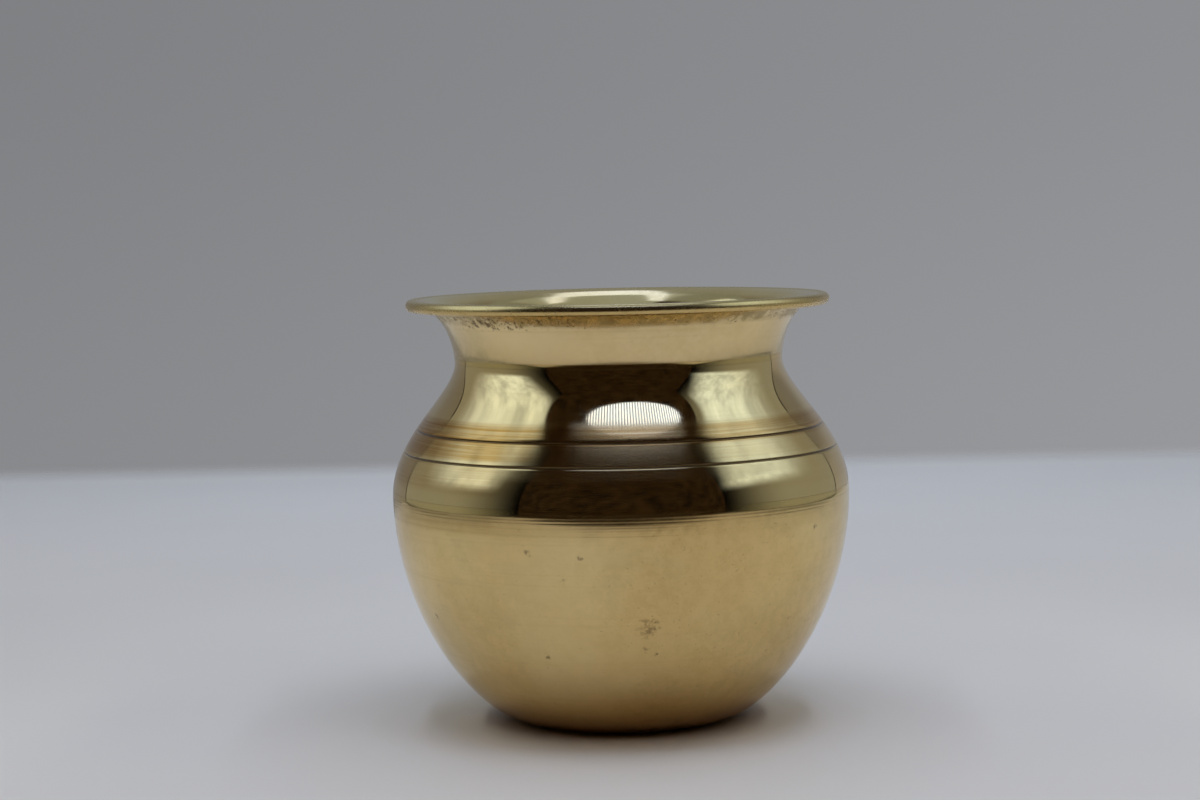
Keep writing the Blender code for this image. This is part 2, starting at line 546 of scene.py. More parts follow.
@dataclass(frozen=True)
class SpotTarnishAndLipShade(Layer):
    """Dark veins and spots of tarnish in a belt, thickest towards one side, and above it a brown strip
    of painted shade of the lip, blotched with tarnish.
    """

    middle: float
    half_width: float
    softness: float
    strip_from: float
    strip_to: float
    thickest_towards: Triple
    scale: float = 900.0
    patch_scale: float = 99.0
    side_edges: Span = (0.1, 1.0)
    spot_edges: Span = (0.97, 1.08)
    tint: Colour = (0.15, 0.09, 0.04)
    strip_scale: float = 260.0
    strip_edges: Span = (0.38, 0.60)
    strip_least: float = 0.3
    lip_shade_and_tarnish_tint: Colour = (0.40, 0.30, 0.12)

    def over(self, place: Place, look: Look) -> Look:
        """Scatter tarnish spots in the belt, and lay painted shade of the lip, blotched like tarnish,
        on the strip above it.

        Args:
            place: Where the point is.
            look: The look so far.

        Returns:
            The new look.
        """
        patch = place.cloud(self.patch_scale, detail=2.0, rough=0.5)
        side = place.facing(self.thickest_towards).rising(*self.side_edges)
        reach = place.height.band(self.middle, self.half_width, self.softness)
        crowding = patch * 0.5 + side * 0.10 + reach * 0.08
        specks = place.cloud(self.scale, detail=3.0, rough=0.7) + crowding
        spots = specks.rising(*self.spot_edges) * reach
        # Painted shade of the lip: a brown strip under the rolled lip, made blotchy like tarnish.
        blotch = place.cloud(self.strip_scale, detail=4.0, rough=0.65).rising(*self.strip_edges)
        strip = place.height.rising(self.strip_from, self.strip_to) * blotch.at_least(self.strip_least)
        browned = look.stained_or_shaded(strip, share=0.85, tint=self.lip_shade_and_tarnish_tint, dulling=0.22)
        return browned.stained_or_shaded(spots, share=0.80, tint=self.tint, dulling=0.25, depth=5.0e-6)


@dataclass(frozen=True)
class Dulling(Layer):
    """Dulling and darkening of all beyond a height or radius: wear from hands at the rim, and painted
    shade towards the floor on the bowl.
    """

    low: float
    high: float
    dulling: float
    share: float
    tint: Colour = (0.60, 0.44, 0.17)
    measure: Measure = Measure.HEIGHT
    cloud_scale: float = 160.0

    def over(self, place: Place, look: Look) -> Look:
        """Dull the metal from low to high and beyond, on either side of low.

        Args:
            place: Where the point is.
            look: The look so far.

        Returns:
            The new look.
        """
        reach = getattr(place, self.measure.value).rising(self.low, self.high)
        uneven = place.cloud(self.cloud_scale, detail=3.0, rough=0.6) * 0.6 + 0.7
        return look.stained_or_shaded(reach * uneven, self.share, self.tint, self.dulling)


@dataclass(frozen=True)
class Pit:
    """One cluster of pits: its direction round the axis, height and size."""

    turn_degrees: float
    height: float
    size: float


@dataclass(frozen=True)
class Pits(Layer):
    """A handful of clusters of small stained pits."""

    wall_radius: float
    pits: tuple[Pit, ...]
    tint: Colour = (0.26, 0.18, 0.085)
    full_share: float = 0.25
    grain_scale: float = 1000.0
    crowding: float = 0.20
    hole_edges: Span = (0.60, 0.80)

    def over(self, place: Place, look: Look) -> Look:
        """Sink and stain the pits of each cluster.

        Args:
            place: Where the point is.
            look: The look so far.

        Returns:
            The new look.
        """
        near: Wire | float = 0.0
        for pit in self.pits:
            turn = math.radians(pit.turn_degrees)
            aim = (math.sin(turn), -math.cos(turn), 0.0)
            apart = place.graph.vectors("DISTANCE", place.around, aim, output="Value")
            sideways, upright = apart * self.wall_radius, place.height - pit.height
            distance = place.graph.maths("SQRT", sideways * sideways + upright * upright)
            near = distance.rising(pit.size, pit.size * self.full_share) + near
        grain = place.cloud(self.grain_scale, detail=3.0, rough=0.6)
        holes = (grain + near * self.crowding).rising(*self.hole_edges) * near.clipped()
        return look.stained_or_shaded(holes, share=0.70, tint=self.tint, dulling=0.18, depth=4.0e-6)


@dataclass(frozen=True)
class WaterStain(Layer):
    """Brown and grey water marks inside the pot, darker towards the floor."""

    dark_below: float = 0.020
    clean_above: float = 0.075
    least: float = 0.3
    tint: Colour = (0.30, 0.19, 0.07)
    cloud_scale: float = 55.0
    cloud_share: float = 0.7
    tide_scale: float = 22.0
    stain_edges: Span = (0.40, 0.72)

    def over(self, place: Place, look: Look) -> Look:
        """Stain the inside in tide lines and clouds.

        Args:
            place: Where the point is.
            look: The look so far.

        Returns:
            The new look.
        """
        low = place.height.rising(self.clean_above, self.dark_below)
        cloud = place.cloud(self.cloud_scale, detail=5.0, rough=0.62)
        settings = {"wave_type": "BANDS", "bands_direction": "Z"}
        values = {"Vector": place.position, "Scale": self.tide_scale, "Distortion": 5.0, "Detail": 3.0}
        tide = place.graph.node("ShaderNodeTexWave", settings, values, 1)
        marks = cloud * self.cloud_share + tide * (1.0 - self.cloud_share)
        stain = marks.rising(*self.stain_edges) * low.at_least(self.least)
        return look.stained_or_shaded(stain, share=0.6, tint=self.tint, dulling=0.22)


@dataclass(frozen=True)
class BrassFinish:
    """Brass of one colour and polish, under its layers of wear and painted shade."""

    name: str
    pale: Colour = (0.83, 0.645, 0.31)
    deep: Colour = (0.77, 0.555, 0.235)
    polish: float = 0.10
    layers: tuple[Layer, ...] = ()
    melt_scale: float = 24.0
    melt_edges: Span = (0.30, 0.70)
    grain_scale: float = 900.0
    grain_dulling: float = 0.012
    grain_depth: float = 2.0e-7
    least_metal: float = 0.98
    brushed_roughness: float = 0.166
    brushed_one_way: float = 1.0
    brushed_turn: float = 0.25

    def material(self, section_length: float) -> bpy.types.Material:
        """Make the finish as a material.

        Args:
            section_length: The length round the piece's half section.

        Returns:
            The material.
        """
        material = bpy.data.materials.new(self.name)
        graph = Graph(material)
        place = Place.on(graph, section_length)
        melt = place.cloud(self.melt_scale, detail=3.0, rough=0.5).rising(*self.melt_edges)
        grain = place.cloud(self.grain_scale, detail=2.0, rough=0.5)
        look = Look(
            colour=graph.mixed(melt, self.pale, self.deep),
            roughness=grain * self.grain_dulling + self.polish,
            metal=grain.at_least(self.least_metal),
            relief=grain * self.grain_depth,
        )
        for layer in self.layers:
            look = layer.over(place, look)
        values = {"Height": look.relief, "Strength": 1.0, "Distance": 1.0}
        metal = {"Base Color": look.colour, "Normal": graph.node("ShaderNodeBump", None, values)}
        values = {"Roughness": look.roughness.clipped(), "Metallic": look.metal.clipped()}
        shader = graph.node("ShaderNodeBsdfPrincipled", None, metal | values)
        if look.brushed:
            values = {
                "Roughness": self.brushed_roughness,
                "Metallic": 1.0,
                "Anisotropic": self.brushed_one_way,
                "Anisotropic Rotation": self.brushed_turn,
            }
            brushed = graph.node("ShaderNodeBsdfPrincipled", None, metal | values)
            values = {0: look.brushed, 1: shader, 2: brushed}
            shader = graph.node("ShaderNodeMixShader", None, values)
        graph.node("ShaderNodeOutputMaterial", None, {"Surface": shader})
        return material


def lining(name: str) -> BrassFinish:
    """Return the dull, water-marked finish of the inside of the belly."""
    return BrassFinish(name, polish=0.24, layers=(TurningMarks(depth=2.5e-6), WaterStain()))


# Half sections


def cubic(start: Vector, start_pull: Vector, end_pull: Vector, end: Vector) -> Curve:
    """Return a smooth curve between two points.

    Args:
        start: The first point.
        start_pull: Where the curve heads as it leaves the first point.
        end_pull: Where it comes from as it reaches the last point.
        end: The last point.

    Returns:
        The curve, as a function of the share 0 to 1 of the way along it.
    """

    def at(share: float) -> Vector:
        """Return the point at a share of the way."""
        rest = 1.0 - share
        return (
            start * rest**3
            + start_pull * (3.0 * rest**2 * share)
            + end_pull * (3.0 * rest * share**2)
            + end * share**3
        )

    return at


def sampled(curve: Curve, steps: int, first: float = 0.0, last: float = 1.0) -> Path:
    """Return evenly spread points of a curve, with both ends."""
    return [curve(first + (last - first) * step / steps) for step in range(steps + 1)]


def share_at_height(curve: Curve, height: float, halvings: int = 48) -> float:
    """Find where a rising curve reaches a height, by halving.

    Args:
        curve: The curve.
        height: The height.
        halvings: How often the stretch that is searched is halved.

    Returns:
        The share of the way along the curve.
    """
    low, high = 0.0, 1.0
    for _ in range(halvings):
        middle = (low + high) / 2.0
        if curve(middle).y < height:
            low = middle
        else:
            high = middle
    return (low + high) / 2.0


def heading(angle: float) -> Vector:
    """Return the unit direction at an angle from level."""
    return Vector((math.cos(angle), math.sin(angle)))


def arc(centre: Vector, radius: float, start: float, turn: float, steps: int) -> Path:
    """Return points round a centre.

    Args:
        centre: The arc's centre.
        radius: The arc's radius.
        start: The angle of the first point.
        turn: How far the arc turns clockwise.
        steps: How many chords it has.

    Returns:
        The points, with both ends.
    """
    return [centre + radius * heading(start - turn * step / steps) for step in range(steps + 1)]


def left_of(start: Vector, end: Vector) -> Vector:
    """Return the unit direction on the left of a step, the inside of a wall drawn upwards."""
    along = (end - start).normalized()
    return Vector((-along.y, along.x))


def parallel(path: Path, distance: float) -> Path:
    """Move a path to its left, with mitred corners.

    Args:
        path: The path.
        distance: How far it moves.

    Returns:
        The moved path.
    """
    sides = [left_of(start, end) for start, end in zip(path, path[1:])]
    moved = []
    for point, before, after in zip(path, sides[:1] + sides, sides + sides[-1:]):
        mitre = (before + after).normalized()
        moved.append(point + mitre * (distance / mitre.dot(after)))
    return moved


@dataclass(frozen=True)
class Section:
    """A half section: a path up its outside, then one down its inside."""

    outside: Path
    inside: Path

    @property
    def points(self) -> Path:
        """Return all the points in order."""
        return self.outside + self.inside

    @property
    def closed(self) -> bool:
        """Say whether the last point joins the first, rather than both lying on the axis."""
        return self.points[0].x > 0.0

    @property
    def runs(self) -> list[float]:
        """Measure how far round the half section each point is, with the whole length last.

        Returns:
            The lengths, in order.
        """
        points = self.points
        following = points[1:] + points[:1] if self.closed else points[1:]
        return [0.0, *accumulate((end - start).length for start, end in zip(points, following))]


@dataclass
class Lathe:
    """Turns half sections into pieces of the pot."""

    steps: int = 240
    sharp_degrees: float = 32.0
    map_name: str = "turned"

    def ring(self, shape: bmesh.types.BMesh, point: Vector) -> list[bmesh.types.BMVert]:
        """Add the points that one section point makes.

        Args:
            shape: The mesh under construction.
            point: The section point.

        Returns:
            One vertex for each step, all the same one on the axis.
        """
        if point.x == 0.0:
            return [shape.verts.new((0.0, 0.0, point.y))] * self.steps
        turns = [2.0 * math.pi * step / self.steps for step in range(self.steps)]
        return [
            shape.verts.new((point.x * math.cos(turn), point.x * math.sin(turn), point.y))
            for turn in turns
        ]

    def bridge(
        self,
        shape: bmesh.types.BMesh,
        rings: Sequence[list[bmesh.types.BMVert]],
        shares: Sequence[float],
        side: Face,
    ) -> None:
        """Join two rings with faces, and lay them flat in the piece's map.

        Args:
            shape: The mesh under construction.
            rings: The rings of two section points, in order.
            shares: How far along the section each ring is, 0 to 1.
            side: The side of the metal that the faces are.
        """
        turned_map = shape.loops.layers.uv[self.map_name]
        for step in range(self.steps):
            corners: dict[bmesh.types.BMVert, Span] = {}
            for turn, end in ((step, 0), (step + 1, 0), (step + 1, 1), (step, 1)):
                corners.setdefault(rings[end][turn % self.steps], (turn / self.steps, shares[end]))
            face = shape.faces.new(list(corners))
            face.material_index = side.value
            for loop, place in zip(face.loops, corners.values()):
                loop[turned_map].uv = place

    def turn(self, node: str, section: Section, slot: str, finishes: Sequence[BrassFinish]) -> None:
        """Make one piece in place of the solid of the same name.

        Args:
            node: The solid's node.
            section: The piece's half section.
            slot: The record's material slot; not used.
            finishes: The finish of the outside, then of the inside.
        """
        shape = bmesh.new()
        shape.loops.layers.uv.new(self.map_name)
        rings = [self.ring(shape, point) for point in section.points]
        runs = section.runs
        length = runs[-1]
        shares = [run / length for run in runs]
        for index in range(len(runs) - 1):
            pair = rings[index], rings[(index + 1) % len(rings)]
            side = Face.OUTSIDE if index < len(section.outside) - 1 else Face.INSIDE
            self.bridge(shape, pair, shares[index : index + 2], side)
        mesh = bpy.data.meshes.new(node + "_turned")
        shape.to_mesh(mesh)
        shape.free()
        mesh.shade_smooth()
        mesh.set_sharp_from_angle(angle=math.radians(self.sharp_degrees))
        for finish in finishes:
            mesh.materials.append(finish.material(length))
        piece = bpy.data.objects.new(node + "_turned", mesh)
        bpy.context.scene.collection.objects.link(piece)
        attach(piece, "root")
        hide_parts(node)
        LOG.info("%s: %d faces", piece.name, len(mesh.polygons))


# The pot


@dataclass
class Outline:
    """The pot's outer half section, with the sizes that its pieces share."""

    belly_radius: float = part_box("lower_bowl")[1].x
    rim_radius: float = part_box("mouth_collar")[1].x
    rim_z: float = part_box("mouth_collar")[1].z
    belly_z: float = 0.0538
    neck_z: float = 0.0850
    base_radius: float = 0.0213
    neck_radius: float = 0.0387
    heel_radius: float = 0.0173
    heel_turn: float = math.radians(36.7)
    lower_start_pull: float = 0.0150
    lower_end_pull: float = 0.0210
    shoulder_start_pull: float = 0.0140
    shoulder_end_pull: float = 0.0073
    flare_start_pull: float = 0.00275
    flare_end_pull: float = 0.0085
    flare_angle: float = math.radians(14.0)
    sheet: float = 0.0010
    collar_sheet: float = 0.0006
    wire_radius: float = 0.0005
    wire_clearance: float = 0.00025
    gap: float = 0.0003
    lap: float = 0.0040
    tongue_steps: int = 8

    def __post_init__(self) -> None:
        """Work out the curves and the rim's roll."""
        up = Vector((0.0, 1.0))
        self.heel_centre = Vector((self.base_radius, self.heel_radius))
        heel_end = self.heel_centre + self.heel_radius * heading(self.heel_turn - QUARTER_TURN)
        heel_way = heading(self.heel_turn)
        belly = Vector((self.belly_radius, self.belly_z))
        neck = Vector((self.neck_radius, self.neck_z))
        self.curl_radius = self.wire_radius + self.wire_clearance
        self.bead_radius = self.curl_radius + self.collar_sheet
        bead = Vector((self.bead_radius, self.bead_radius))
        self.bead_centre = Vector((self.rim_radius, self.rim_z)) - bead
        self.curl_start = self.flare_angle + QUARTER_TURN
        flare_end = self.bead_centre + self.curl_radius * heading(self.curl_start)
        flare_way = heading(self.flare_angle)
        self.lower = cubic(
            heel_end,
            heel_end + heel_way * self.lower_start_pull,
            belly - up * self.lower_end_pull,
            belly,
        )
        self.shoulder = cubic(
            belly,
            belly + up * self.shoulder_start_pull,
            neck - up * self.shoulder_end_pull,
            neck,
        )
        self.flare = cubic(
            neck,
            neck + up * self.flare_start_pull,
            flare_end - flare_way * self.flare_end_pull,
            flare_end,
        )

    def step_in(self, upper_sheet: float) -> float:
        """Return how far a tongue steps in to pass inside the sheet above it."""
        return upper_sheet + self.gap

    def upper_edge(self, seam: float, upper_sheet: float) -> float:
        """Return the height of the lower edge of the piece above a lapped seam."""
        return seam + self.step_in(upper_sheet) + self.gap

    def tongue(self, curve: Curve, seam: float, upper_sheet: float) -> Path:
        """Return the outer side of a tongue, which follows the inside of the piece above.

        Args:
            curve: The outer curve of the piece above.
            seam: The seam's height.
            upper_sheet: The thickness of the piece above.

        Returns:
            The tongue's outer side, from the seam upwards.
        """
        inwards = self.step_in(upper_sheet)
        low = share_at_height(curve, seam + inwards)
        high = share_at_height(curve, seam + inwards + self.lap)
        return parallel(sampled(curve, self.tongue_steps, low, high), inwards)


@dataclass
class Bowl:
    """The lower half: the bowl, the disc let into its underside and their fillet."""

    outline: Outline
    seat_width: float = 0.0050
    disc_edge: float = 0.0010
    fillet_reach: float = 0.0025
    fillet_gap: float = 0.00006
    fillet_sag: Span = (0.0004, 0.0006)
    fillet_steps: int = 8
    edge_round: float = 0.00025
    edge_steps: int = 4
    heel_steps: int = 16
    wall_steps: int = 56
    ring_heights: tuple[float, ...] = (0.0004, 0.0011, 0.0021, 0.0027, 0.0039)
    ring_width: float = 0.00035
    ring_depth: float = 0.0000025
    ring_uneven: float = 0.5
    ring_steps: int = 80
    pitted_radius: float = 0.0486
    pits: tuple[Pit, ...] = (
        Pit(6.4, 0.0289, 0.0042),
        Pit(8.6, 0.0224, 0.0016),
        Pit(5.6, 0.0236, 0.0017),
        Pit(-21.8, 0.0218, 0.0015),
        Pit(-60.7, 0.0281, 0.0016),
        Pit(-22.6, 0.0460, 0.0016),
        Pit(-9.9, 0.0452, 0.0011),
        Pit(-14.5, 0.0397, 0.0013),
        Pit(54.1, 0.0483, 0.0012),
        Pit(152.0, 0.0350, 0.0026),
        Pit(-128.0, 0.0240, 0.0021),
    )

    def ring_cut(self, height: float) -> float:
        """Work out how deep the belly's fine rings are at a height.

        Args:
            height: The height above the floor.

        Returns:
            The depth of the cut.
        """
        cut = 0.0
        for place, below in enumerate(self.ring_heights):
            off = abs(height - (self.outline.belly_z - below)) / self.ring_width
            if off < 1.0:
                uneven = 1.0 + self.ring_uneven * math.sin(2.0 * place)
                cut += self.ring_depth * uneven * (1.0 - off * off) ** 2
        return cut

    def outer_path(self) -> Path:
        """Draw the bowl's outer side, from its ledge to its tongue, with the belly's fine rings.

        Returns:
            The path.
        """
        shape = self.outline
        ledge = [Vector((shape.base_radius - self.seat_width, 0.0))]
        turn = (-QUARTER_TURN, -shape.heel_turn, self.heel_steps)
        heel = arc(shape.heel_centre, shape.heel_radius, *turn)
        rings_from = shape.belly_z - self.ring_heights[-1] - self.ring_width
        rings_share = share_at_height(shape.lower, rings_from)
        wall = sampled(shape.lower, self.wall_steps, 0.0, rings_share)
        for step in range(1, self.ring_steps + 1):
            height = rings_from + (shape.belly_z - rings_from) * step / self.ring_steps
            point = shape.lower(share_at_height(shape.lower, height))
            wall.append(point - Vector((self.ring_cut(height), 0.0)))
        return ledge + heel + wall[1:] + shape.tongue(shape.shoulder, shape.belly_z, shape.sheet)

    def bowl_section(self) -> Section:
        """Return the bowl's half section."""
        path = self.outer_path()
        return Section(path, parallel(path, self.outline.sheet)[::-1])

    def disc_section(self) -> Section:
        """Draw the stepped disc's half section, its corners eased.

        Returns:
            The half section.
        """
        shape = self.outline
        plug = shape.base_radius - self.seat_width - shape.gap
        seat = shape.sheet + shape.gap
        top = seat + self.disc_edge
        ease = self.edge_round
        corner = (-QUARTER_TURN, self.edge_steps)
        under = [Vector((0.0, 0.0)), Vector((plug / 2.0, 0.0))]
        under += arc(Vector((plug - ease, ease)), ease, -QUARTER_TURN, *corner)
        under += [Vector((plug, seat)), Vector((shape.base_radius - ease, seat))]
        over = arc(Vector((shape.base_radius - ease, top - ease)), ease, 0.0, *corner)
        over += [Vector((plug / 2.0, top)), Vector((0.0, top))]
        return Section(under, over)

    def fillet_section(self) -> Section:
        """Draw the half section of the fillet, hollow where the filler drew back as it cooled.

        Returns:
            The half section.
        """
        shape = self.outline
        reach = shape.heel_radius - shape.sheet - self.fillet_gap
        near, far = self.fillet_gap, shape.gap + self.fillet_reach
        middle = (near + far) / 2.0

        def wall(offset: float) -> Vector:
            """Return a point just inside the bowl's wall."""
            rise = shape.heel_radius - math.sqrt(reach**2 - offset**2)
            return Vector((shape.base_radius + offset, rise))

        top = Vector((shape.base_radius + near, shape.sheet + shape.gap + self.disc_edge))
        low, high = wall(near), wall(far)
        sag = Vector((shape.base_radius + near, low.y)) + Vector(self.fillet_sag)
        hollow = cubic(high, (high + sag) / 2.0, (top + sag) / 2.0, top)
        return Section([low, wall(middle), high], sampled(hollow, self.fillet_steps)[1:])

    def outside_finish(self) -> BrassFinish:
        """Put together the finish of the bowl's outside.

        Returns:
            The finish.
        """
        belly = self.outline.belly_z
        layers = (
            TurningMarks(depth=0.9e-6, pitch=0.00050, tint_share=0.18),
            Patina(share=0.52),
            HandHaze(),
            RingStain(
                middle=belly - 0.0020,
                half_width=0.0016,
                softness=0.0016,
                share=0.40,
                tint=(0.50, 0.32, 0.10),
            ),
            # Darker, browner and duller towards the floor: painted shade near the foot, with dulling.
            Dulling(low=0.012, high=0.001, dulling=0.10, share=0.75, tint=(0.52, 0.29, 0.08)),
            Pits(wall_radius=self.pitted_radius, pits=self.pits),
        )
        return BrassFinish("bowl_brass_outside", polish=0.085, layers=layers)

    def build(self, lathe: Lathe) -> None:
        """Turn the bowl, its disc and its fillet.

        Args:
            lathe: The lathe that turns the pieces.
        """
        inside = lining("bowl_brass_inside")
        under = BrassFinish(
            "base_brass_under",
            polish=0.30,
            layers=(TurningMarks(depth=3.0e-6), HandHaze(scale=60.0, dulling=0.2)),
        )
        filler = BrassFinish(
            "base_filler",
            pale=(0.82, 0.62, 0.26),
            polish=0.36,
            layers=(HandHaze(scale=120.0, dulling=0.15), WaterStain()),
        )
        lathe.turn("lower_bowl", self.bowl_section(), "bowl_brass", (self.outside_finish(), inside))
        lathe.turn("base_disc", self.disc_section(), "base_brass", (under, inside))
        lathe.turn("base_braze", self.fillet_section(), "braze", (filler, filler))


@dataclass
class Seam:
    """Filler brazed into the notch outside a lapped seam and filed flush."""

    node: str
    outline: Outline
    curve: Curve
    height: float
    upper_sheet: float
    hairline: float = 0.00004
    face_steps: int = 6

    def section(self) -> Section:
        """Draw the filler's half section.

        Returns:
            The half section.
        """
        low = self.height + self.hairline
        high = self.outline.upper_edge(self.height, self.upper_sheet) - self.hairline
        first = share_at_height(self.curve, low)
        last = share_at_height(self.curve, high)
        face = sampled(self.curve, self.face_steps, first, last)
        depth = high - low - self.hairline * 2.0
        root = Vector((face[-1].x - depth, high))
        return Section(face, [root])

    def build(self, lathe: Lathe) -> None:
        """Turn the filler ring."""
        finish = BrassFinish(
            self.node + "_filler",
            pale=(0.83, 0.63, 0.265),
            deep=(0.76, 0.54, 0.20),
            polish=0.07,
            layers=(TurningMarks(depth=0.8e-6), HandHaze(scale=90.0, dulling=0.05)),
        )
        lathe.turn(self.node, self.section(), "braze", (finish, finish))


@dataclass
class Shoulder:
    """The upper half of the belly, drawn in to the neck, with two lines cut round it."""

    outline: Outline
    line_rise: float = 0.0106
    line_spacing: float = 0.0051
    line_width: float = 0.0006
    line_depth: float = 0.00024
    line_roundness: float = 1.5
    line_steps: int = 12
    line_dark_rise: float = 0.00006
    stretch_steps: int = 26

    @property
    def line_heights(self) -> tuple[float, float]:
        """Return the heights of the two lines."""
        low = self.outline.belly_z + self.line_rise
        return low, low + self.line_spacing

    def groove(self, height: float) -> tuple[float, float, Path]:
        """Return one cut line.

        Args:
            height: The line's height.

        Returns:
            The shares of the shoulder's curve where it starts and ends, and its points.
        """
        curve = self.outline.shoulder
        below = share_at_height(curve, height - self.line_width / 2.0)
        above = share_at_height(curve, height + self.line_width / 2.0)
        points = []
        for step in range(1, self.line_steps):
            share = step / self.line_steps
            depth = self.line_depth * math.sin(math.pi * share) ** self.line_roundness
            point = curve(below + (above - below) * share)
            points.append(point + left_of(curve(below), curve(above)) * depth)
        return below, above, points

    def section(self) -> Section:
        """Draw the shoulder's half section.

        Returns:
            The half section.
        """
        shape = self.outline
        curve = shape.shoulder
        tongue = shape.tongue(shape.flare, shape.neck_z, shape.collar_sheet)
        share = share_at_height(curve, shape.upper_edge(shape.belly_z, shape.sheet))
        smooth = sampled(curve, 3 * self.stretch_steps, share) + tongue
        cut: Path = []
        for height in self.line_heights:
            below, above, points = self.groove(height)
            cut += sampled(curve, self.stretch_steps, share, below) + points
            share = above
        cut += sampled(curve, self.stretch_steps, share) + tongue
        return Section(cut, parallel(smooth, shape.sheet)[::-1])

    def build(self, lathe: Lathe) -> None:
        """Turn the shoulder.

        Args:
            lathe: The lathe that turns the pieces.
        """
        low, high = self.line_heights
        layers = (
            TurningMarks(depth=1.1e-6, pitch=0.00038, tint_share=0.15),
            HandHaze(scale=30.0, dulling=0.035, tint_share=0.2),
            CutterMarks(middle=low + 0.0033, half_width=0.0051, softness=0.0018),
            RingStain(middle=high + 0.0015, half_width=0.0013, softness=0.0014, least=0.70),
            RingStain(middle=high - 0.0020, half_width=0.0014, softness=0.0016, share=0.85),
            RingStain(middle=low - 0.0030, half_width=0.0020, softness=0.0022, share=0.35),
            # The two cut lines are darkened and dulled along their middles.
            CutLineDarkening(low + self.line_dark_rise, self.line_width / 2.0),
            CutLineDarkening(high + self.line_dark_rise, self.line_width / 2.0),
        )
        outside = BrassFinish("shoulder_brass_outside", polish=0.03, layers=layers)
        finishes = (outside, lining("shoulder_brass_inside"))
        lathe.turn("shoulder", self.section(), "shoulder_brass", finishes)


@dataclass
class Mouth:
    """The flared mouth with its edge rolled round a wire."""

    outline: Outline
    curl_turn: float = math.radians(275.0)
    flare_steps: int = 40
    curl_steps: int = 40
    wire_steps: int = 20
    spots_drop: float = 0.0044
    strip_drop: float = 0.0057
    worn_share: Span = (2.2, 1.5)

    def collar_section(self) -> Section:
        """Draw the collar's half section, whose inside runs over the rim to its rolled edge.

        Returns:
            The half section.
        """
        shape = self.outline
        share = share_at_height(shape.flare, shape.upper_edge(shape.neck_z, shape.collar_sheet))
        flare = sampled(shape.flare, self.flare_steps, share)
        roll = (shape.curl_start, self.curl_turn, self.curl_steps)
        wire_side = arc(shape.bead_centre, shape.curl_radius, *roll)
        outer_side = arc(shape.bead_centre, shape.bead_radius, *roll)
        mouth_side = parallel(flare, shape.collar_sheet)[:-1]
        return Section(flare + wire_side[1:], outer_side[::-1] + mouth_side[::-1])

    def wire_section(self) -> Section:
        """Draw the wire's half section.

        Returns:
            The half section.
        """
        shape = self.outline
        round_wire = arc(shape.bead_centre, shape.wire_radius, 0.0, 2.0 * math.pi, self.wire_steps)
        half = self.wire_steps // 2
        return Section(round_wire[:half], round_wire[half:-1])

    def build(self, lathe: Lathe) -> None:
        """Turn the collar and its wire.

        Args:
            lathe: The lathe that turns the pieces.
        """
        shape = self.outline
        # Tarnish spots under the lip, and above them a brown strip of painted shade of the lip.
        under_lip = SpotTarnishAndLipShade(
            middle=shape.rim_z - self.spots_drop,
            half_width=0.0007,
            softness=0.0020,
            strip_from=shape.rim_z - self.strip_drop,
            strip_to=shape.rim_z - self.spots_drop,
            thickest_towards=(-0.77, -0.64, 0.0),
        )
        outside = BrassFinish(
            "collar_brass_outside",
            pale=(0.84, 0.68, 0.37),
            deep=(0.80, 0.61, 0.30),
            polish=0.10,
            layers=(
                TurningMarks(depth=0.8e-6, pitch=0.0005),
                Patina(scale=34.0, share=0.25, speck_share=0.12),
                HandHaze(scale=45.0),
                under_lip,
            ),
        )
        worn_from, worn_to = (shape.rim_radius - shape.bead_radius * part for part in self.worn_share)
        worn_rim = Dulling(worn_from, worn_to, dulling=0.17, share=0.7, measure=Measure.RADIUS)
        inside = BrassFinish(
            "collar_brass_inside",
            polish=0.07,
            layers=(
                TurningMarks(depth=0.6e-6),
                Patina(scale=40.0, share=0.25, speck_share=0.0),
                HandHaze(scale=50.0, dulling=0.08),
                worn_rim,
            ),
        )
        wire = BrassFinish("wire_brass", polish=0.35, layers=(HandHaze(scale=200.0, dulling=0.2),))
        lathe.turn("mouth_collar", self.collar_section(), "collar_brass", (outside, inside))
        lathe.turn("rim_wire", self.wire_section(), "wire_brass", (wire, wire))


# The studio


@dataclass(frozen=True)
class Edge:
    """A soft straight edge of a card's light: the way in from it, its distance and softness."""

    inwards: Triple
    distance: float
    softness: float


@dataclass(frozen=True)
class Panel:
    """A soft panel of light on an upright card that runs from front to back.

    Its corners are (depth, height) points, the lower front one first, then the lower back one.
    The softness is that of the edge after each corner.
    """

    corners: tuple[Span, Span, Span, Span]
    softness: tuple[float, float, float, float]

    def edges(self) -> tuple[Edge, ...]:
        """Work out the panel's edges, one after each corner.

        Returns:
            The edges.
        """
        points = [Vector(corner) for corner in self.corners]
        edges = []
        for start, end, softness in zip(points, points[1:] + points[:1], self.softness):
            inwards = left_of(start, end)
            edges.append(Edge((0.0, *inwards), inwards.dot(start), softness))
        return tuple(edges)


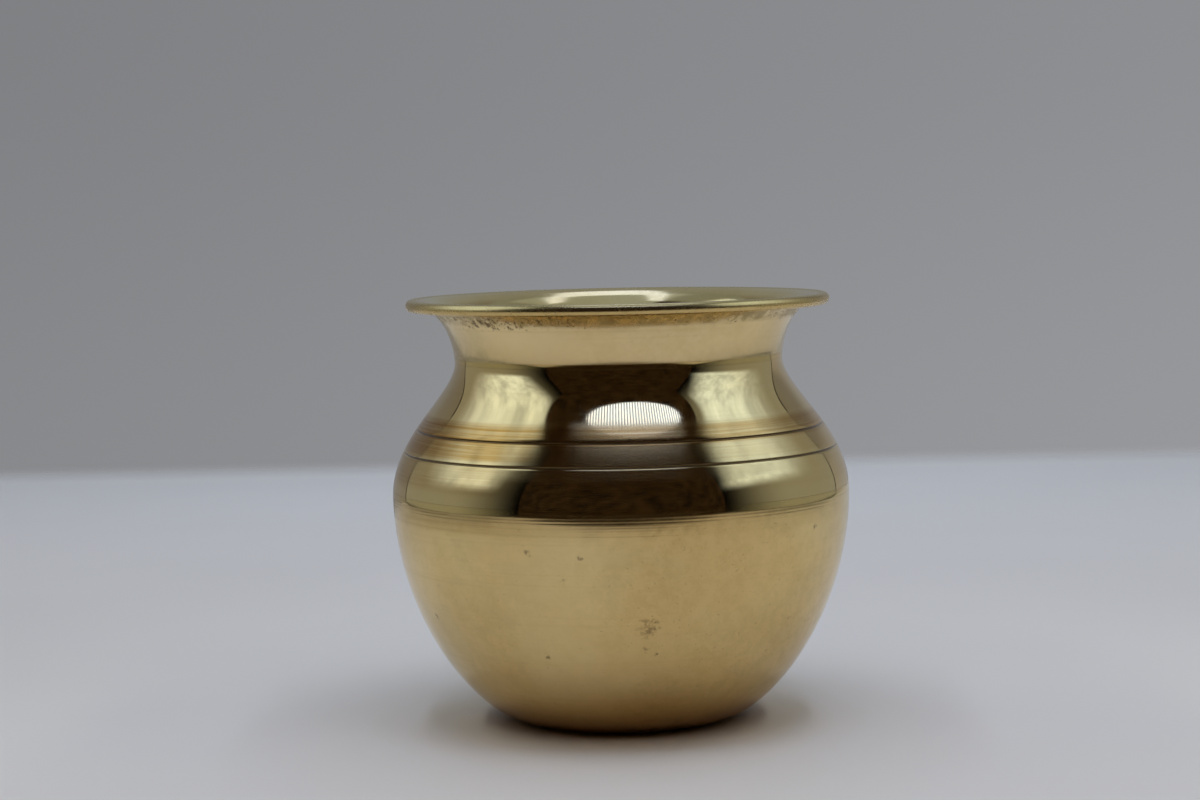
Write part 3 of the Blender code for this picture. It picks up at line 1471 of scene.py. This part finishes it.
@dataclass(frozen=True)
class Glow:
    """The light of a card: plain, graded, striped or cloudy, and clear beyond its edges."""

    name: str
    colour: Colour
    strength: float
    full_from: float = 0.0
    stripe_pitch: float = 0.0
    stripes_from: float = 0.385
    clouds: float = 0.0
    cloud_stretch: Triple = (1.0, 1.6, 0.9)
    cloud_scale: float = 11.0
    cloud_edges: Span = (0.25, 0.75)
    edges: tuple[Edge, ...] = ()
    disc: Triple | None = None
    disc_softness: float = 0.004
    mirrored_only: bool = True

    def shares(self, graph: Graph, position: Wire) -> list[Wire]:
        """Return what makes the card's light uneven, each as a share of its strength.

        Args:
            graph: The material's graph.
            position: Where the place is.

        Returns:
            The shares, none of them for a plain card.
        """
        shares = []
        if self.full_from:
            across = graph.part(graph.node("ShaderNodeTexCoord", output="UV"), "X")
            shares.append(across.rising(0.0, self.full_from))
        if self.stripe_pitch:
            fan = graph.part(position, "X") / (self.stripes_from - graph.part(position, "Y"))
            wave = graph.maths("SINE", fan * (2.0 * math.pi / self.stripe_pitch))
            shares.append(wave * 0.5 + 0.5)
        if self.clouds:
            stretched = graph.vectors("MULTIPLY", position, self.cloud_stretch)
            cloud = graph.noise(stretched, self.cloud_scale, detail=4.0, rough=0.60)
            shares.append(cloud.rising(*self.cloud_edges).at_least(1.0 - self.clouds))
        return shares

    def solid(self, graph: Graph, position: Wire) -> Wire | None:
        """Return how solid the card is at each place.

        Args:
            graph: The material's graph.
            position: Where the place is.

        Returns:
            The share of the card's light that shows, or nothing for a card with plain edges.
        """
        solid = None
        if self.disc:
            x, y, radius = self.disc
            level = graph.vectors("MULTIPLY", position, LEVEL)
            reach = graph.vectors("DISTANCE", level, (x, y, 0.0), output="Value")
            solid = reach.rising(radius, radius - self.disc_softness)
        for edge in self.edges:
            depth = graph.vectors("DOT_PRODUCT", position, edge.inwards, output="Value")
            half = edge.softness / 2.0
            step = depth.rising(edge.distance - half, edge.distance + half)
            solid = solid * step if solid else step
        return solid

    def material(self) -> bpy.types.Material:
        """Make the light as a material.

        Returns:
            The material.
        """
        material = bpy.data.materials.new(self.name)
        graph = Graph(material)
        position = graph.node("ShaderNodeTexCoord", output="Object")
        colour: Wire | Colour = self.colour
        for share in self.shares(graph, position):
            colour = graph.mixed(share, BLACK, colour)
        if self.mirrored_only:
            bounces = graph.node("ShaderNodeLightPath", output="Diffuse Depth")
            colour = graph.mixed(bounces.rising(0.0, 1.0), colour, BLACK)
        values = {"Color": opaque(colour), "Strength": self.strength}
        shader = graph.node("ShaderNodeEmission", None, values)
        solid = self.solid(graph, position)
        if solid:
            clear = graph.node("ShaderNodeBsdfTransparent")
            shader = graph.node("ShaderNodeMixShader", None, {0: solid, 1: clear, 2: shader})
        graph.node("ShaderNodeOutputMaterial", None, {"Surface": shader})
        return material


@dataclass(frozen=True)
class Card:
    """A flat stage card with four corners in order; its map runs from the first to the second."""

    name: str
    use: Stage
    corners: tuple[Triple, Triple, Triple, Triple]

    @classmethod
    def level(
        cls, name: str, use: Stage, sides: Span, depth: Span, z: float, far_sides: Span | None = None
    ) -> "Card":
        """Return a level card.

        Args:
            name: The card's name.
            use: What it is for.
            sides: Its left and right edges, at the front.
            depth: Its front and back edges.
            z: Its height.
            far_sides: Its left and right edges at the back, if it is slanted.

        Returns:
            The card.
        """
        (start, end), (front, back) = sides, depth
        far_start, far_end = far_sides or sides
        corners = ((start, front, z), (end, front, z), (far_end, back, z), (far_start, back, z))
        return cls(name, use, corners)

    @classmethod
    def upright(cls, name: str, use: Stage, start: Span, end: Span, top: float) -> "Card":
        """Return a card that stands on the ground.

        Args:
            name: The card's name.
            use: What it is for.
            start: Where its first lower corner stands.
            end: Where its second lower corner stands.
            top: How high it reaches.

        Returns:
            The card.
        """
        return cls(name, use, ((*start, 0.0), (*end, 0.0), (*end, top), (*start, top)))

    def build(self, material: bpy.types.Material) -> None:
        """Lay the card out and set which rays see it.

        Args:
            material: The card's material.
        """
        shape = bmesh.new()
        flat_map = shape.loops.layers.uv.new("flat")
        face = shape.faces.new([shape.verts.new(corner) for corner in self.corners])
        for loop, place in zip(face.loops, ((0, 0), (1, 0), (1, 1), (0, 1))):
            loop[flat_map].uv = place
        mesh = bpy.data.meshes.new(self.name)
        shape.to_mesh(mesh)
        shape.free()
        mesh.materials.append(material)
        card = bpy.data.objects.new(self.name, mesh)
        bpy.context.scene.collection.objects.link(card)
        card.visible_camera = self.use is Stage.FLOOR
        card.visible_shadow = self.use in (Stage.FLOOR, Stage.FLAG)
        card.visible_glossy = self.use is not Stage.FILL
        card.visible_diffuse = self.use is not Stage.SHEEN


@dataclass(frozen=True)
class Fill:
    """A level card that lights the floor: its edges, light and height, just under the lamp's."""

    name: str
    sides: Span
    depth: Span
    colour: Colour
    strength: float
    height: float = 0.596

    def build(self) -> None:
        """Hang the card."""
        light = Glow(self.name + "_light", self.colour, self.strength, mirrored_only=False)
        Card.level(self.name, Stage.FILL, self.sides, self.depth, self.height).build(light.material())


@dataclass
class Backdrop:
    """The plain grey backdrop, paler near the floor and darker towards the left and corners."""

    colour: Colour = (0.242, 0.245, 0.256)
    high_colour: Colour = (0.262, 0.300, 0.340)
    near_floor: float = 1.16
    far_left: float = 0.83
    far_right: float = 1.17
    corner: float = 0.76
    low_climb: Span = (-0.12, 0.08)
    high_climb: Span = (0.08, 0.30)
    side_reach: Span = (-0.5, 0.5)
    corner_reach: Span = (0.25, 0.50)

    def build(self) -> None:
        """Hang the backdrop all round, as the scene's world."""
        world = bpy.data.worlds.new("grey_backdrop")
        graph = Graph(world)
        direction = graph.node("ShaderNodeTexCoord", output="Generated")
        sideways, climb = graph.part(direction, "X"), graph.part(direction, "Z")
        near_floor = tuple(part * self.near_floor for part in self.colour)
        corner = tuple(part * self.corner for part in self.colour)
        middle = graph.mixed(climb.rising(*self.low_climb), near_floor, self.colour)
        left, right = (
            graph.vectors("MULTIPLY", middle, (share, share, share))
            for share in (self.far_left, self.far_right)
        )
        low = graph.mixed(sideways.rising(*self.side_reach), left, right)
        high = graph.mixed(abs(sideways).rising(*self.corner_reach), self.high_colour, corner)
        colour = graph.mixed(climb.rising(*self.high_climb), low, high)
        shader = graph.node("ShaderNodeBackground", None, {"Color": colour})
        graph.node("ShaderNodeOutputWorld", None, {"Surface": shader})
        bpy.context.scene.world = world


@dataclass
class Studio:
    """A pale floor in a light tent, with a lamp over it, a soft panel on each side and a dark front."""

    backdrop: Backdrop
    left: float = -0.40
    right: float = 0.41
    floor_front: float = -0.320
    floor_back: float = 0.600
    back_fade: float = 0.075
    floor_colour: Colour = (0.87, 0.83, 0.77)
    floor_shade: float = 0.96
    floor_cloud_scale: float = 5.0
    room_front: float = -0.78
    room_back: float = 0.42
    room_side: float = 0.80
    room_height: float = 0.88
    room_ground: float = -0.001
    pale_from: float = 0.05
    pale_height: float = 0.87
    tent_front: float = -0.35
    tent_height: float = 0.75
    seam_y: float = 0.340
    seam_width: float = 0.012
    seam_rise: float = 0.009
    panel_gap: float = 0.002
    panel_card: Span = (-0.45, 0.42)
    panel_height: float = 0.86
    left_panel: Panel = Panel(
        ((-0.163, 0.202), (0.062, 0.148), (0.745, 1.122), (-0.200, 0.725)), (0.08, 0.21, 0.06, 0.13)
    )
    right_panel: Panel = Panel(
        ((-0.283, 0.233), (0.034, 0.182), (0.299, 0.642), (-0.168, 0.679)), (0.08, 0.27, 0.06, 0.18)
    )
    sweep_y: float = 0.36
    sweep_rise: float = 0.05
    sweep_end: float = 0.10
    lamp_height: float = 0.60
    lamp_sides: Span = (-0.210, 0.310)
    lamp_back: float = -0.155
    lamp_stripe: float = 0.0195
    lamp_disc: Triple = (0.0345, 0.010, 0.2888)
    cloth_sides: Span = (-0.120, 0.230)
    cloth_back: float = 0.30
    cloth_height: float = 0.604
    fill_sides: Span = (-0.52, 0.62)
    tube_depth: Span = (-0.268, 0.22)
    beside_depth: Span = (-0.268, 0.30)
    back_fill_height: float = 0.35
    cool_light: Colour = (0.87, 1.0, 1.30)
    warm_light: Colour = (1.02, 1.0, 0.88)
    rosy_light: Colour = (1.0, 0.89, 0.83)

    def floor_material(self) -> bpy.types.Material:
        """Make the floor's pale matt finish, which fades into the backdrop at the back.

        Returns:
            The material.
        """
        material = bpy.data.materials.new("pale_floor")
        graph = Graph(material)
        position = graph.node("ShaderNodeTexCoord", output="Object")
        cloud = graph.noise(position, self.floor_cloud_scale, detail=3.0, rough=0.5).rising(0.3, 0.7)
        shade = tuple(part * self.floor_shade for part in self.floor_colour)
        values = {"Base Color": graph.mixed(cloud, self.floor_colour, shade), "Roughness": 0.6}
        floor = graph.node("ShaderNodeBsdfPrincipled", None, values)
        gone = graph.part(position, "Y").rising(self.floor_back - self.back_fade, self.floor_back)
        clear = graph.node("ShaderNodeBsdfTransparent")
        shader = graph.node("ShaderNodeMixShader", None, {0: gone, 1: floor, 2: clear})
        graph.node("ShaderNodeOutputMaterial", None, {"Surface": shader})
        return material

    def build_floor(self) -> None:
        """Lay the floor."""
        sides, depth = (self.left, self.right), (self.floor_front, self.floor_back)
        Card.level("studio_floor", Stage.FLOOR, sides, depth, 0.0).build(self.floor_material())

    def build_dark_room(self) -> None:
        """Hang dark cards in front, beside and above, and a pale one over the back."""
        dark = Glow("dark_room", (1.0, 0.60, 0.30), 0.030, clouds=0.8).material()
        front, back, side, top = self.room_front, self.room_back, self.room_side, self.room_height
        sides = (-side, side)
        ground, ceiling = (front, self.floor_front), (front, self.floor_back)
        cards = (
            Card.upright("dark_front", Stage.FLAG, (-side, front), (side, front), top),
            Card.upright("dark_left", Stage.FLAG, (-side, front), (-side, back), top),
            Card.upright("dark_right", Stage.FLAG, (side, front), (side, back), top),
            Card.level("dark_ground", Stage.FLAG, sides, ground, self.room_ground),
            Card.level("dark_ceiling", Stage.FLAG, sides, ceiling, top),
        )
        for card in cards:
            card.build(dark)
        pale = Glow("pale_ceiling", (0.84, 1.0, 1.15), 0.28).material()
        depth = (self.pale_from, self.floor_back)
        Card.level("pale_ceiling", Stage.SHEEN, sides, depth, self.pale_height).build(pale)

    def build_tent(self) -> None:
        """Hang the tent's sides, lit towards the back, with a soft panel and dark seams on each."""
        cloth = Glow("tent_cloth", (0.94, 1.0, 1.0), 0.29, full_from=0.5).material()
        seam = Glow("tent_seam", (1.0, 0.9, 0.8), 0.02).material()
        sweep = Glow("sweep_light", self.backdrop.colour, 0.95).material()
        start, end = (self.left, self.sweep_y), (self.sweep_end, self.sweep_y)
        Card.upright("sweep", Stage.SHEEN, start, end, self.sweep_rise).build(sweep)
        sides = (
            ("left", self.left, self.left + self.panel_gap, self.left_panel),
            ("right", self.right, self.right - self.panel_gap, self.right_panel),
        )
        for name, side, near, panel in sides:
            colour, edges = (0.80, 1.0, 1.32), panel.edges()
            light = Glow("panel_light_" + name, colour, 1.30, clouds=0.45, edges=edges).material()
            corner = (self.seam_y, self.seam_y + self.seam_width)
            cards = (
                ("tent_", side, (self.tent_front, self.seam_y), self.tent_height, cloth),
                ("corner_", side, corner, self.tent_height, seam),
                ("edge_", near, (self.floor_front, self.seam_y), self.seam_rise, seam),
                ("panel_", near, self.panel_card, self.panel_height, light),
            )
            for kind, x, (front, back), top, glow in cards:
                Card.upright(kind + name, Stage.SHEEN, (x, front), (x, back), top).build(glow)

    def build_lamps(self) -> None:
        """Hang the lamp frame that the metal mirrors."""
        stripes = {"stripe_pitch": self.lamp_stripe, "disc": self.lamp_disc}
        lamp = Glow("lamp_light", (0.78, 1.0, 1.88), 2.7, **stripes).material()
        cloth = Glow("lamp_cloth_light", (0.82, 1.0, 1.22), 0.42).material()
        frame_light = Glow("lamp_frame_light", (0.80, 1.0, 1.60), 1.30).material()
        _, middle, radius = self.lamp_disc
        front, back = (middle - radius, self.lamp_back), (self.lamp_back, self.cloth_back)
        Card.level("lamp_front", Stage.SHEEN, self.lamp_sides, front, self.lamp_height).build(lamp)
        Card.level("lamp_cloth", Stage.SHEEN, self.cloth_sides, back, self.cloth_height).build(cloth)
        bars = (
            ("lamp_back", (-0.085, 0.110), (0.225, 0.47), (-0.025, 0.045)),
            ("lamp_left", (-0.128, -0.085), (0.03, 0.26), (-0.080, -0.036)),
            ("lamp_right", (0.140, 0.195), (0.07, 0.28), (0.060, 0.110)),
        )
        for name, sides, depth, far_sides in bars:
            bar = Card.level(name, Stage.SHEEN, sides, depth, self.lamp_height, far_sides)
            bar.build(frame_light)

    def build_fills(self) -> None:
        """Hang the fill cards that light the floor."""
        wide, tubes, beside = self.fill_sides, self.tube_depth, self.beside_depth
        cool, warm, rosy = self.cool_light, self.warm_light, self.rosy_light
        fills = (
            Fill("front_fill", wide, (-0.70, -0.27), rosy, 0.85),
            Fill("back_fill", wide, (0.35, 0.62), cool, 0.78, self.back_fill_height),
            Fill("middle_fill", (-0.05, 0.13), (-0.22, -0.04), cool, 3.2),
            Fill("left_tube", (-0.126, -0.114), tubes, cool, 25.5),
            Fill("right_tube", (0.154, 0.166), tubes, cool, 24.5),
            Fill("left_fill", (-0.40, -0.36), beside, warm, 8.3),
            Fill("right_fill", (0.36, 0.40), beside, warm, 8.8),
        )
        for fill in fills:
            fill.build()

    def build(self) -> None:
        """Build the whole studio."""
        self.build_floor()
        self.build_dark_room()
        self.build_tent()
        self.build_lamps()
        self.build_fills()
        self.backdrop.build()
        LOG.info("studio: floor, tent, lamps and backdrop")


@dataclass
class Viewpoint:
    """The camera, at the photograph's viewing angle."""

    distance: float = 0.5977
    height: float = 0.1238
    yaw: float = -0.00758
    pitch: float = 0.08105
    roll: float = -0.02086
    focal_pixels: float = 2530.0
    frame_pixels: float = 1200.0
    sensor_width: float = 36.0
    nearest: float = 0.01
    farthest: float = 20.0

    def build(self) -> None:
        """Place the camera and make it the scene's."""
        level = Vector((math.sin(self.yaw), math.cos(self.yaw), 0.0))
        ahead = level * math.cos(self.pitch) - Vector((0.0, 0.0, math.sin(self.pitch)))
        right = Vector((math.cos(self.yaw), -math.sin(self.yaw), 0.0))
        above = right.cross(ahead)
        side = right * math.cos(self.roll) + above * math.sin(self.roll)
        top = above * math.cos(self.roll) - right * math.sin(self.roll)
        data = bpy.data.cameras.new("camera")
        data.sensor_fit = "HORIZONTAL"
        data.sensor_width = self.sensor_width
        data.lens = self.focal_pixels / self.frame_pixels * self.sensor_width
        data.clip_start = self.nearest
        data.clip_end = self.farthest
        camera = bpy.data.objects.new("camera", data)
        turned = Matrix((side, top, -ahead)).transposed().to_4x4()
        camera.matrix_world = Matrix.Translation((0.0, -self.distance, self.height)) @ turned
        bpy.context.scene.collection.objects.link(camera)
        bpy.context.scene.camera = camera
        LOG.info("camera: %.1f mm lens", data.lens)


def main() -> None:
    """Build the pot from its base to its rim, then the studio and the camera."""
    logging.basicConfig(level=logging.INFO, format="%(name)s: %(message)s")
    bpy.context.scene.view_settings.view_transform = "Standard"
    outline = Outline()
    lathe = Lathe()
    Bowl(outline).build(lathe)
    Seam("belly_braze", outline, outline.shoulder, outline.belly_z, outline.sheet).build(lathe)
    Shoulder(outline).build(lathe)
    Seam("neck_braze", outline, outline.flare, outline.neck_z, outline.collar_sheet).build(lathe)
    Mouth(outline).build(lathe)
    Studio(Backdrop()).build()
    Viewpoint().build()


if __name__ == "__main__":
    main()
